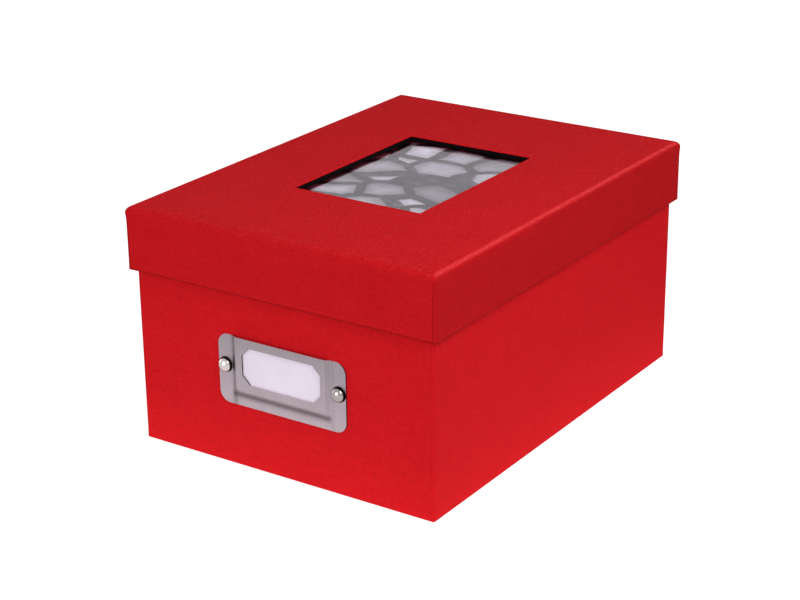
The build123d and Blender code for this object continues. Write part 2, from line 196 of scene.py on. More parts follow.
# Stamped step of the holder, with painted dark reflections in it. A painted reflection is a half width and a
# depth of tone, and its middle lies a shift to the right of the step
STEP_FROM_SIDE = 7.6
STEP_FROM_BOTTOM = 5.4
STEP_SOFTNESS = 1.0
STEP_FADE = 2.0
LOWER_DARK_REFLECTION = (1.7, 0.62)
LEFT_DARK_REFLECTION = (1.3, 0.36)
LEFT_DARK_REFLECTION_SHIFT = 1.0
RIGHT_DARK_REFLECTION = (1.0, 0.10)
RIGHT_DARK_REFLECTION_SHIFT = 0.6

# Cut edges of the holder: how far they face right or up, and their tone: a painted shade on edges that face
# right, a painted highlight on those that face up
RIGHT_EDGE = (0.4, 0.85)
RIGHT_EDGE_SHADE = 0.18
UPPER_EDGE = (0.75, 0.95)
UPPER_EDGE_HIGHLIGHT = 2.6

# Fasteners
NICKEL_LIGHT = (0.50, 0.46, 0.45)
NICKEL_DARK = (0.40, 0.36, 0.35)
NICKEL_ROUGHNESS = (0.12, 0.26)
SCUFF_SIZE = 0.25
SCUFF_STRETCH = 6.0
SCUFF_NOISE = (0.3, 0.8)
BRAD_HEAD_HEIGHT = 3.2
# Height of the head, and the height, softness and tone of a painted shadow under its rim
BRAD_RIM = 1.25
BRAD_RIM_SOFTNESS = 0.35
BRAD_RIM_SHADOW = 0.03
# Painted light across the holder: the left head lighter and the right head darker
BRADS_REACH = (-20.0, 20.0)
BRAD_PAINTED_LIGHT = (1.15, 0.72)

# Print in the window: stones over a bed of small stones
PRINT_TINT = (1.0, 0.94, 1.05)
PRINT_BLACK = 0.012
PRINT_GLOSS = 0.05
PRINT_ROUGHNESS = (0.30, 0.36)
STONE_SIZE = 20.0
STONE_WIDTH_SHARE = 0.8
STONE_UNEVENNESS = 0.75
STONE_BEND = (7.0, -5.0, 0.0)
STONE_BEND_SIZE = 16.0
STONE_SHIFT = (3.0, 8.0, 0.0)
LIT_SHIFT = (4.1, 6.6, 0.0)
STONE_EDGE = (0.085, 0.115)
STONE_DRAWS = (0.1, 0.9)
STONE_TONES = (0.32, 0.95)
STONE_DOME = (0.05, 0.34)
STONE_DOME_TONES = (0.55, 1.08)
STONE_LIGHT = 3.2
STONE_LIGHT_SHARE = 0.30
STONE_GRAIN_SIZE = 2.4
STONE_GRAIN_TONES = (0.78, 1.16)
BED_SIZE = 6.0
BED_SHIFT = (31.0, 17.0, 0.0)
BED_TONES = (0.025, 0.12)
BED_EDGE = (0.02, 0.3)
BED_EDGE_TONE = 0.35

# Clear film over the picture
FILM_IOR = 1.32
FILM_TINT = (0.96, 0.96, 0.97)
FILM_GLOSS_TINT = (1.0, 0.93, 1.0)
FILM_ROUGHNESS = 0.03
FILM_RIPPLE_SIZE = 26.0
FILM_RIPPLE = 0.25
RECESS_SHADE = (0.66, 0.38, 0.43)
RECESS_SHADE_REACH = (1.5, 4.5)

# Floor
FLOOR_SIZE = 12000.0
FLOOR_BOUNCE = 0.25
FLOOR_SHOWN_SHADE = 0.5
FLOOR_SHOWN_LIFT = 0.86

# Light from the floor. A glow is its reach and strength, and one beside the object has a place first
CONTACT_GLOW = (60.0, 0.8)
SIDE_GLOWS = (((0.0, -450.0), 400.0, 0.36),)

# Strength of the white surroundings
AMBIENT = 0.3

# Lamps: name, place and size in metres, and power in watts
LIGHT_AIM = (0.0, 0.0, 0.08)
SOFT_LIGHTS = (
    ("key_light", (0.45, -0.25, 0.5), 0.35, 2.12),
    ("front_light", (-0.1, -0.8, 0.3), 0.5, 2.46),
    ("side_light", (0.8, 0.0, 0.3), 0.4, 1.15),
    ("rim_light", (0.4, 0.75, 0.42), 0.3, 1.0),
    ("fill_light", (-0.85, -0.1, 0.2), 0.5, 1.6),
)


# Meshes


def mesh_object(name, points, faces, smooth=True):
    """A new object from points in millimetres."""
    mesh = bpy.data.meshes.new(name)
    mesh.from_pydata([Vector(p) * MM for p in points], [], faces)
    mesh.validate()
    if smooth:
        mesh.shade_smooth()
    piece = bpy.data.objects.new(name, mesh)
    bpy.context.scene.collection.objects.link(piece)
    return piece


def corner_places(node):
    """The lowest and highest corner of a CAD node, in millimetres."""
    return tuple(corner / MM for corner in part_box(node))


def spread(first, last, count):
    """Numbers from first to last, evenly spaced, both included."""
    return [first + (last - first) * i / (count - 1) for i in range(count)]


def arc(middle, radius, start, end, steps):
    """Points on an arc in the section plane, first and last included. Angles are in degrees."""
    found = []
    for step in range(steps + 1):
        turn = math.radians(start + (end - start) * step / steps)
        found.append((middle[0] + radius * math.cos(turn), middle[1] + radius * math.sin(turn)))
    return found


def side_fractions(half_side, count):
    """Places along a side, from -1 to 1, close together near its corners."""
    close = [1 - distance / half_side for distance in FROM_CORNER]
    inner_end = close[-1]
    inner = [inner_end * (1 - 2 * (i + 1) / count) for i in range(count - 1)]
    fractions = close + inner + [-f for f in reversed(close)]
    return [-f for f in fractions]


def cover_fractions(half_width, half_length):
    """Places of the points along a cover's end sides and along its long sides."""
    return side_fractions(half_width, ACROSS_STEPS), side_fractions(half_length, ALONG_STEPS)


def rounded_loop(half_width, half_length, corner, fractions, lap):
    """Points round a rectangle with rounded corners, anticlockwise from above, starting on the front side.

    The corners lie a lap's depth under the cloth of the two end sides, whose cut edges end beside them.
    """
    across, along = fractions
    x_in = half_width - corner
    y_in = half_length - corner
    last = len(across) - 1
    depths = [lap if i in (0, last) else 0.0 for i in range(last + 1)]
    sides = (
        ([(f * x_in, d - half_length) for f, d in zip(across, depths)], (x_in, -y_in), -90, (lap, 0.0)),
        ([(half_width, f * y_in) for f in along], (x_in, y_in), 0, (0.0, -lap)),
        ([(-f * x_in, half_length - d) for f, d in zip(across, depths)], (-x_in, y_in), 90, (-lap, 0.0)),
        ([(-half_width, -f * y_in) for f in along], (-x_in, -y_in), 180, (0.0, lap)),
    )
    points = []
    for side, middle, start, (sunk_first, sunk_last) in sides:
        points += side
        for step in range(1, CORNER_STEPS):
            share = step / CORNER_STEPS
            turn = math.radians(start + 90 * share)
            sunk = sunk_first * (1 - share) + sunk_last * share
            points.append((middle[0] + corner * math.cos(turn), middle[1] + corner * math.sin(turn) + sunk))
    return points


def loop_tones(fractions, crease, face_tones):
    """A painted shade for each point of a loop: that of the end and long faces, with more painted shade where
    a lap ends.
    """
    across, along = (len(side) for side in fractions)
    end_tone, long_tone = face_tones
    at_lap = (1 - crease) * long_tone
    beside = (1 - crease * BESIDE_CREASE) * end_tone
    end_side = [at_lap, beside] + [end_tone] * (across - 4) + [beside, at_lap]
    return (end_side + [long_tone] * (along + 2 * (CORNER_STEPS - 1))) * 2


def loop_highlight(fractions, highlight_and_fibres):
    """The painted highlight of each point of a loop: that of its long faces, which fades out round the
    corners.
    """
    across, along = (len(side) for side in fractions)
    fading = [highlight_and_fibres * step / CORNER_STEPS for step in range(1, CORNER_STEPS)]
    return ([0.0] * across + fading + [highlight_and_fibres] * along + fading[::-1]) * 2


def loft(rings):
    """Points and faces of the closed surface through rings that all have the same number of points."""
    points = [p for ring in rings for p in ring]
    count = len(rings[0])
    faces = []
    for i in range(len(rings)):
        j = (i + 1) % len(rings)
        for k in range(count):
            n = (k + 1) % count
            faces.append((i * count + k, i * count + n, j * count + n, j * count + k))
    return points, faces


def waved(point, sway, half_width, half_length):
    """The point moved inwards a little, by an amount that drifts, as glued cloth isn't quite flat."""
    x, y, z = point
    wave_place = (x / WAVE_SIZE + WAVE_SEED, y / WAVE_SIZE - WAVE_SEED, z / WAVE_SIZE + 2 * WAVE_SEED)
    depth = sway * CLOTH_WAVINESS * (0.5 + 0.5 * noise.noise(Vector(wave_place)))
    return (x * (1 - depth / half_width), y * (1 - depth / half_length), z)


# Materials


class Shader:
    """A material's node tree, with short calls to add nodes and link them."""

    def __init__(self, name):
        self.material = bpy.data.materials.new(name)
        self.material.use_nodes = True
        self.tree = self.material.node_tree
        self.tree.nodes.clear()
        self.output = self.tree.nodes.new("ShaderNodeOutputMaterial")

    def put(self, socket, value):
        """Links a socket to an output, or sets its value."""
        if isinstance(value, bpy.types.NodeSocket):
            self.tree.links.new(value, socket)
        else:
            socket.default_value = value

    def add(self, kind, inputs=None, **settings):
        """Adds a node, with its settings, and its inputs by name or number."""
        made = self.tree.nodes.new("ShaderNode" + kind)
        for name, value in settings.items():
            setattr(made, name, value)
        for name, value in (inputs or {}).items():
            self.put(made.inputs[name], value)
        return made

    def math(self, operation, *values):
        """The result of an operation on numbers."""
        return self.add("Math", dict(enumerate(values)), operation=operation).outputs[0]

    def product(self, first, *others):
        """All the numbers multiplied, from the first on."""
        for other in others:
            first = self.math("MULTIPLY", first, other)
        return first

    def vector(self, operation, *values):
        """The result of an operation on vectors."""
        made = self.add("VectorMath", operation=operation)
        for i, value in enumerate(values):
            self.put(made.inputs["Scale" if operation == "SCALE" and i == 1 else i], value)
        return made.outputs["Value" if operation == "LENGTH" else "Vector"]

    def parts(self, vector):
        """The x, y and z of a vector."""
        return self.add("SeparateXYZ", {0: vector}).outputs

    def place(self):
        """The point in the piece's own frame, in millimetres."""
        return self.vector("SCALE", self.add("TexCoord").outputs["Object"], 1 / MM)

    def facing(self):
        """The direction that the surface faces, in the piece's own frame."""
        return self.add("TexCoord").outputs["Normal"]

    def mark(self, name):
        """A number that the mesh gives for each of its points."""
        return self.add("Attribute", attribute_name=name).outputs["Fac"]

    def noise(self, point, size, stretch=(1, 1, 1), detail=2.0, roughness=0.5):
        """Smooth noise from 0 to 1 with features of a size in millimetres, longer where stretch is larger."""
        scaled = self.vector("MULTIPLY", point, tuple(1 / (size * s) for s in stretch))
        inputs = {"Vector": scaled, "Scale": 1.0, "Detail": detail, "Roughness": roughness}
        return self.add("TexNoise", inputs).outputs["Fac"]

    def streaks(self, point, size, stretch, axes, detail):
        """Noise in short streaks along each of the axes, as many noises as axes."""
        shapes = [tuple(stretch if i == axis else 1.0 for i in range(3)) for axis in axes]
        return [self.noise(point, size, shape, detail=detail) for shape in shapes]

    def mapped(self, value, limits, results, kind):
        """Maps a range of a value to another range, and holds it there."""
        inputs = {"Value": value, "From Min": limits[0], "From Max": limits[1]}
        inputs.update({"To Min": results[0], "To Max": results[1]})
        return self.add("MapRange", inputs, interpolation_type=kind, clamp=True).outputs["Result"]

    def ramp(self, value, limits, low, high):
        """A number that goes straight from low to high over a range of a value."""
        return self.mapped(value, limits, (low, high), "LINEAR")

    def fade(self, value, limits, low=0.0, high=1.0):
        """A number that goes softly from low to high over a range of a value."""
        return self.mapped(value, limits, (low, high), "SMOOTHSTEP")

    def mix(self, share, first, second):
        """A colour between two others."""
        made = self.add("Mix", data_type="RGBA", blend_type="MIX", clamp_factor=True)
        self.put(made.inputs[0], share)
        self.put(made.inputs[6], first)
        self.put(made.inputs[7], second)
        return made.outputs[2]

    def bump(self, height, depth):
        """A normal from a height of 0 to 1 that stands for a depth in millimetres."""
        inputs = {"Height": height, "Distance": depth * MM, "Strength": 1.0}
        return self.add("Bump", inputs).outputs["Normal"]

    def show(self, shader):
        """The material, with a shader as its surface."""
        self.tree.links.new(shader.outputs[0], self.output.inputs["Surface"])
        return self.material

    def surface(self, inputs):
        """The material, with a principled shader as its surface."""
        return self.show(self.add("BsdfPrincipled", inputs))


def rgb(red, green, blue):
    """A colour as a shader's socket takes it."""
    return (red, green, blue, 1.0)


def weave_height(shader, point, normal):
    """Height of a plain weave, laid on whichever faces of the box the surface runs along."""
    steps = [shader.math("MULTIPLY", part, math.pi / THREAD_PITCH) for part in shader.parts(point)]
    waves = [shader.math("SINE", step) for step in steps]
    threads = [shader.math("ABSOLUTE", wave) for wave in waves]
    normal_parts = shader.parts(normal)
    total = None
    for facing, (u, v) in enumerate(((1, 2), (0, 2), (0, 1))):
        pillow = shader.math("SQRT", shader.math("MULTIPLY", threads[u], threads[v]))
        parity = shader.math("MULTIPLY", waves[u], waves[v])
        lean = shader.math("MULTIPLY", parity, shader.math("SUBTRACT", threads[u], threads[v]))
        height = shader.math("MULTIPLY_ADD", lean, THREAD_LEAN, pillow)
        share = shader.math("POWER", shader.math("ABSOLUTE", normal_parts[facing]), FACE_SHARPNESS)
        height = shader.math("MULTIPLY", height, share)
        total = height if total is None else shader.math("ADD", total, height)
    return total


def cloth_tone(shader, point, slubs, height):
    """How light the red is: uneven from thread to thread, with painted shade and highlight by the weave's
    height, and darker by the painted shade that the mesh marks.
    """
    streaks = shader.math("ADD", *shader.streaks(point, STREAK_SIZE, STREAK_STRETCH, (0, 1), 2.0))
    patches = shader.noise(point, PATCH_SIZE, detail=3.0)
    tone = shader.ramp(slubs, MOST_NOISE, -SLUB_CONTRAST, SLUB_CONTRAST)
    tone = shader.math("ADD", tone, shader.ramp(streaks, TWO_NOISES, -STREAK_CONTRAST, STREAK_CONTRAST))
    tone = shader.math("ADD", tone, shader.ramp(patches, MOST_NOISE, -PATCH_CONTRAST, PATCH_CONTRAST))
    # Painted shade in the weave's hollows and painted highlight on its crests
    tone = shader.math("ADD", tone, shader.ramp(height, (0.0, 1.0), *THREAD_SHADE_AND_HIGHLIGHT))
    tone = shader.math("ADD", tone, 1.0)
    return shader.math("MULTIPLY", tone, shader.mark(PAINTED_SHADE_MARK))


def cloth_highlight_and_fibres(shader, point, slubs, normal):
    """How pale the threads are: a painted highlight where the mesh marks it, broken up by noise, with pale
    fibres and painted glints besides.
    """
    highlight_breakup = shader.noise(point, HIGHLIGHT_BREAKUP_SIZE, detail=3.0, roughness=0.7)
    # A painted highlight where the mesh marks it, broken up by noise
    highlight_and_fibres = shader.math("MULTIPLY", shader.mark(HIGHLIGHT_MARK), shader.ramp(highlight_breakup, HIGHLIGHT_BREAKUP_NOISE, *HIGHLIGHT_BREAKUP_SHARES))
    highlight_and_fibres = shader.math("ADD", highlight_and_fibres, shader.ramp(slubs, PALE_FIBRE_NOISE, 0.0, PALE_FIBRE))
    # Painted glints, mostly on the faces that look up
    upward = shader.fade(shader.parts(normal)[2], LOOKING_UP, GLINT_ELSEWHERE, 1.0)
    grains = shader.noise(point, GLINT_SIZE, GLINT_STRETCH, detail=1.0)
    points = shader.ramp(grains, GLINT_NOISE, 0.0, GLINT)
    return shader.math("ADD", highlight_and_fibres, shader.math("MULTIPLY", points, upward))


def bookcloth():
    """Red linen bookcloth: fine even threads, short darker and lighter slubs, almost no gloss."""
    shader = Shader("red_bookcloth_weave")
    point = shader.place()
    normal = shader.facing()
    drift = shader.math("SUBTRACT", shader.noise(point, WANDER_SIZE, detail=1.0), 0.5)
    wander = shader.vector("SCALE", (THREAD_WANDER, THREAD_WANDER, THREAD_WANDER), drift)
    height = weave_height(shader, shader.vector("ADD", point, wander), normal)
    slubs_x, slubs_y, slubs_z = shader.streaks(point, SLUB_SIZE, SLUB_STRETCH, (0, 1, 2), 1.0)
    level = shader.math("MULTIPLY", shader.math("ADD", slubs_x, slubs_y), LEVEL_SLUBS)
    slubs = shader.math("MULTIPLY_ADD", slubs_z, UPRIGHT_SLUBS, level)
    red = shader.vector("SCALE", CLOTH_RED, cloth_tone(shader, point, slubs, height))
    # Painted highlight, painted glints and pale fibres, as a pale colour added to the red
    pale = shader.vector("SCALE", PALE_THREAD_AND_HIGHLIGHT, cloth_highlight_and_fibres(shader, point, slubs, normal))
    return shader.surface(
        {
            "Base Color": shader.vector("ADD", red, pale),
            "Roughness": shader.ramp(slubs, MOST_NOISE, *CLOTH_ROUGHNESS),
            "Specular IOR Level": CLOTH_GLOSS,
            "Normal": shader.bump(shader.math("MULTIPLY_ADD", slubs, SLUB_RELIEF, height), CLOTH_RELIEF),
        }
    )


def paper(name, colour, fibre=0.04, gloss=0.25, grain=0.6):
    """Paper or thin card with faint fibres and a slightly uneven tone."""
    shader = Shader(name)
    point = shader.place()
    fibres = shader.noise(point, grain, FIBRE_STRETCH, detail=4.0, roughness=0.7)
    clouds = shader.noise(point, PAPER_CLOUD_SIZE, detail=2.0)
    tone = shader.ramp(fibres, MORE_NOISE, 1 - fibre, 1 + fibre)
    tone = shader.math("MULTIPLY", tone, shader.ramp(clouds, MOST_NOISE, *PAPER_CLOUD_TONES))
    return shader.surface(
        {
            "Base Color": shader.vector("SCALE", colour, tone),
            "Roughness": shader.ramp(fibres, ALL_NOISE, *PAPER_ROUGHNESS),
            "Specular IOR Level": gloss,
            "Normal": shader.bump(fibres, PAPER_RELIEF),
        }
    )


def band(shader, value, middle, half_width, depth):
    """1 away from a band of a value, and darker by a depth in its middle."""
    away = shader.math("DIVIDE", shader.math("SUBTRACT", value, middle), half_width)
    dark = shader.math("EXPONENT", shader.product(away, away, -1.0))
    return shader.math("SUBTRACT", 1.0, shader.math("MULTIPLY", dark, depth))


def step_painted_reflection(shader, across, up, low, high):
    """The holder's tone: painted dark reflections in the stamped step, and darker towards the top."""
    left = low.x + STEP_FROM_SIDE
    right = high.x - STEP_FROM_SIDE
    from_left = shader.fade(across, (left - STEP_SOFTNESS, left + STEP_SOFTNESS))
    from_right = shader.fade(across, (right + STEP_SOFTNESS, right - STEP_FADE))
    # Painted dark reflections in the stamped step: along its bottom, and beside its left and right sides
    half_width, depth = LOWER_DARK_REFLECTION
    lower_depth = shader.product(from_left, from_right, depth)
    lower_band = band(shader, up, low.z + STEP_FROM_BOTTOM, half_width, lower_depth)
    left_band = band(shader, across, left + LEFT_DARK_REFLECTION_SHIFT, *LEFT_DARK_REFLECTION)
    right_band = band(shader, across, right + RIGHT_DARK_REFLECTION_SHIFT, *RIGHT_DARK_REFLECTION)
    # Darker towards the top
    toward_top = shader.ramp(up, (low.z, high.z), *BOTTOM_TO_TOP_TONES)
    return shader.product(lower_band, left_band, right_band, toward_top)


def brushed_steel():
    """Satin plated steel, finely brushed, with soft clouds, painted dark reflections in the stamped step, and
    painted shade and highlight on its cut edges.
    """
    shader = Shader("holder_steel_satin")
    point = shader.place()
    across, _, up = shader.parts(point)
    steel_painted_light = step_painted_reflection(shader, across, up, *corner_places("label_holder"))
    facing_right, _, facing_up = shader.parts(shader.facing())
    # Painted shade on the cut edges that face right, and a painted highlight on those that face up
    shaded_right_edge = shader.fade(facing_right, RIGHT_EDGE, 1.0, RIGHT_EDGE_SHADE)
    lit_upper_edge = shader.fade(facing_up, UPPER_EDGE, 1.0, UPPER_EDGE_HIGHLIGHT)
    steel_painted_light = shader.math("MULTIPLY", steel_painted_light, shader.math("MULTIPLY", shaded_right_edge, lit_upper_edge))
    brushing = shader.noise(point, BRUSH_SIZE, (BRUSH_STRETCH, 1.0, 1.0), detail=3.0, roughness=0.6)
    clouds = shader.noise(point, STEEL_CLOUD_SIZE, detail=2.0)
    brushed = shader.ramp(brushing, ALL_NOISE, *BRUSH_TONES)
    clouded = shader.ramp(clouds, MOST_NOISE, *STEEL_CLOUD_TONES)
    return shader.surface(
        {
            "Base Color": shader.vector("SCALE", STEEL, shader.product(brushed, clouded, steel_painted_light)),
            "Metallic": 1.0,
            "Roughness": shader.ramp(brushing, ALL_NOISE, *STEEL_ROUGHNESS),
            "Normal": shader.bump(brushing, METAL_RELIEF),
        }
    )


def polished_nickel():
    """Bright nickel plate with fine handling scratches, and a painted black shadow where the head's rim meets
    the holder.
    """
    shader = Shader("brad_nickel_plate")
    point = shader.place()
    across, along, _ = shader.parts(point)
    scuffs = shader.noise(point, SCUFF_SIZE, (SCUFF_STRETCH, 1.0, 1.0), detail=4.0, roughness=0.7)
    plate = shader.mix(scuffs, rgb(*NICKEL_LIGHT), rgb(*NICKEL_DARK))
    rim_start = corner_places("brad_left")[0].y + BRAD_HEAD_HEIGHT - BRAD_RIM
    # Painted shadow under the head's rim
    tone = shader.fade(along, (rim_start, rim_start - BRAD_RIM_SOFTNESS), BRAD_RIM_SHADOW, 1.0)
    # Painted light: the left head lighter and the right head darker
    tone = shader.math("MULTIPLY", tone, shader.ramp(across, BRADS_REACH, *BRAD_PAINTED_LIGHT))
    return shader.surface(
        {
            "Base Color": shader.vector("SCALE", plate, tone),
            "Metallic": 1.0,
            "Roughness": shader.ramp(scuffs, SCUFF_NOISE, *NICKEL_ROUGHNESS),
            "Normal": shader.bump(scuffs, METAL_RELIEF),
        }
    )


def stones(shader, point, shift, size):
    """Distance to each stone's edge, and its own random tone."""
    moved = shader.vector("ADD", point, shift)
    squeezed = shader.vector("MULTIPLY", moved, (STONE_WIDTH_SHARE / size, 1.0 / size, 1.0))
    inputs = {"Vector": squeezed, "Scale": 1.0, "Randomness": STONE_UNEVENNESS}
    edge = shader.add("TexVoronoi", inputs, feature="DISTANCE_TO_EDGE").outputs["Distance"]
    cell = shader.add("TexVoronoi", inputs, feature="F1").outputs["Color"]
    return edge, shader.parts(cell)[0]


def pebble_print():
    """A grey-tone picture of smooth pebbles, printed on semi-gloss paper."""
    shader = Shader("photo_print_pebbles")
    flat = shader.vector("MULTIPLY", shader.place(), (1.0, 1.0, 0.0))
    bend = shader.vector("SCALE", STONE_BEND, shader.noise(flat, STONE_BEND_SIZE, detail=1.0))
    bent = shader.vector("ADD", flat, bend)
    large, large_tone = stones(shader, bent, STONE_SHIFT, STONE_SIZE)
    lit, _ = stones(shader, bent, LIT_SHIFT, STONE_SIZE)
    small, small_tone = stones(shader, bent, BED_SHIFT, BED_SIZE)
    grain = shader.noise(flat, STONE_GRAIN_SIZE, detail=6.0, roughness=0.75)
    dome = shader.ramp(shader.fade(large, STONE_DOME), (0.0, 1.0), *STONE_DOME_TONES)
    side_light = shader.product(shader.math("SUBTRACT", large, lit), STONE_LIGHT, STONE_LIGHT_SHARE)
    stone = shader.math("MULTIPLY", shader.ramp(large_tone, STONE_DRAWS, *STONE_TONES), dome)
    stone = shader.math("ADD", stone, side_light)
    stone = shader.math("MULTIPLY", stone, shader.ramp(grain, MORE_NOISE, *STONE_GRAIN_TONES))
    bed = shader.ramp(small_tone, (0.0, 1.0), *BED_TONES)
    bed = shader.math("MULTIPLY", bed, shader.fade(small, BED_EDGE, BED_EDGE_TONE, 1.0))
    above_bed = shader.math("MULTIPLY", shader.fade(large, STONE_EDGE), shader.math("SUBTRACT", stone, bed))
    tone = shader.math("MAXIMUM", shader.math("ADD", bed, above_bed), PRINT_BLACK)
    return shader.surface(
        {
            "Base Color": shader.vector("SCALE", PRINT_TINT, tone),
            "Roughness": shader.ramp(grain, ALL_NOISE, *PRINT_ROUGHNESS),
            "Specular IOR Level": PRINT_GLOSS,
        }
    )


def clear_film():
    """Thin clear film: see-through, with the gloss of a smooth plastic sheet on its outer faces.

    Its see-through colour has a painted dark red shade under the walls of the window.
    """
    shader = Shader("clear_film_gloss")
    point = shader.place()
    normal = shader.bump(shader.noise(point, FILM_RIPPLE_SIZE, detail=1.0), FILM_RIPPLE)
    look = {"Color": rgb(*FILM_GLOSS_TINT), "Roughness": FILM_ROUGHNESS, "Normal": normal}
    gloss = shader.add("BsdfGlossy", look)
    # Painted shade under the window's walls, in the film's see-through colour
    room = shader.parts(shader.vector("SUBTRACT", window_half_size(), shader.vector("ABSOLUTE", point)))
    open_share = shader.fade(shader.math("MINIMUM", room[0], room[1]), RECESS_SHADE_REACH)
    tint = shader.mix(open_share, rgb(*RECESS_SHADE), rgb(*FILM_TINT))
    clear = shader.add("BsdfTransparent", {"Color": tint})
    fresnel = shader.add("Fresnel", {"IOR": FILM_IOR, "Normal": normal}).outputs[0]
    outer = shader.math("SUBTRACT", 1.0, shader.add("NewGeometry").outputs["Backfacing"])
    share = shader.math("MULTIPLY", fresnel, outer)
    return shader.show(shader.add("MixShader", {0: share, 1: clear.outputs[0], 2: gloss.outputs[0]}))


# Cloth covers


def cloth_cover(name, sections, fractions, edge, material, body, node):
    """A folded cloth cover, as a closed mesh through the rings that CoverRings collects.

    The edge is the lap's depth and the painted shade in its crease, which both grow with a ring's sway.
    A ring's painted light is the painted shade of the end faces, that of the long faces, and the painted
    highlight on the long faces.
    """
    lap, crease = edge
    rings = []
    tones = []
    edge_highlights = []
    for half_width, half_length, height, corner, sway, (end_tone, long_tone, highlight_and_fibres) in sections:
        outline = rounded_loop(half_width, half_length, corner, fractions, lap * sway)
        rings.append([waved((x, y, height), sway, half_width, half_length) for x, y in outline])
        # Painted shade of the faces and creases
        tones += loop_tones(fractions, crease * sway, (end_tone, long_tone))
        # The painted highlight
        edge_highlights += loop_highlight(fractions, highlight_and_fibres)
    points, faces = loft(rings)
    piece = mesh_object(name, points, faces)
    for mark, values in ((PAINTED_SHADE_MARK, tones), (HIGHLIGHT_MARK, edge_highlights)):
        piece.data.attributes.new(mark, "FLOAT", "POINT").data.foreach_set("value", values)
    piece.data.materials.append(material)
    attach(piece, body)
    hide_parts(node)
    return piece


def rounded_edge_painted_light(share):
    """The painted light round the lid's top edge, from the top at 0 to the skirt at 1: painted shade, and a
    painted highlight brightest near the top.
    """
    end = 1 - (1 - SKIRT_SHADE[0]) * share - (1 - ROUND_END_TONE) * math.sin(math.pi * share)
    turned = min(1, max(0, (share - DARKER_FROM) / DARKENS_OVER))
    long = 1 - (1 - SKIRT_SHADE[1]) * turned
    highlight_and_fibres = max(0, 1 - abs(share - BRIGHTEST_AT) / BRIGHTEST_AT)
    return (end, long, highlight_and_fibres)


def window_half_size():
    """Half the window's width and length, from the innermost edges of the lid's cloth node."""
    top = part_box("lid_cloth")[1].z
    near_top = [v.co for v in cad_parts["lid_cloth"].data.vertices if v.co.z > top - 2 * MM]
    across = min(abs(co.x) for co in near_top) / MM
    along = min(abs(co.y) for co in near_top) / MM
    return Vector((across, along, 0))


class CoverRings:
    """The rings of a cover, collected along its section. Each point is an inset and a height."""

    def __init__(self, half_width, half_length):
        self.half_width = half_width
        self.half_length = half_length
        self.rings = []

    def add(self, points, corner_from, corner_to, sway, painted_light=PLAIN):
        """Adds rings at distances in from the outside, with a corner radius that changes along them."""
        corners = spread(corner_from, corner_to, max(len(points), 2))
        for (inset, height), corner in zip(points, corners):
            place = (self.half_width - inset, self.half_length - inset, height)
            self.rings.append((*place, corner, sway, painted_light))

    def add_window(self, window, points):
        """Adds rings at distances out from the window's edge."""
        for outset, height in points:
            place = (window.x + outset, window.y + outset, height)
            self.rings.append((*place, WINDOW_CORNER_RADIUS, 0, PLAIN))


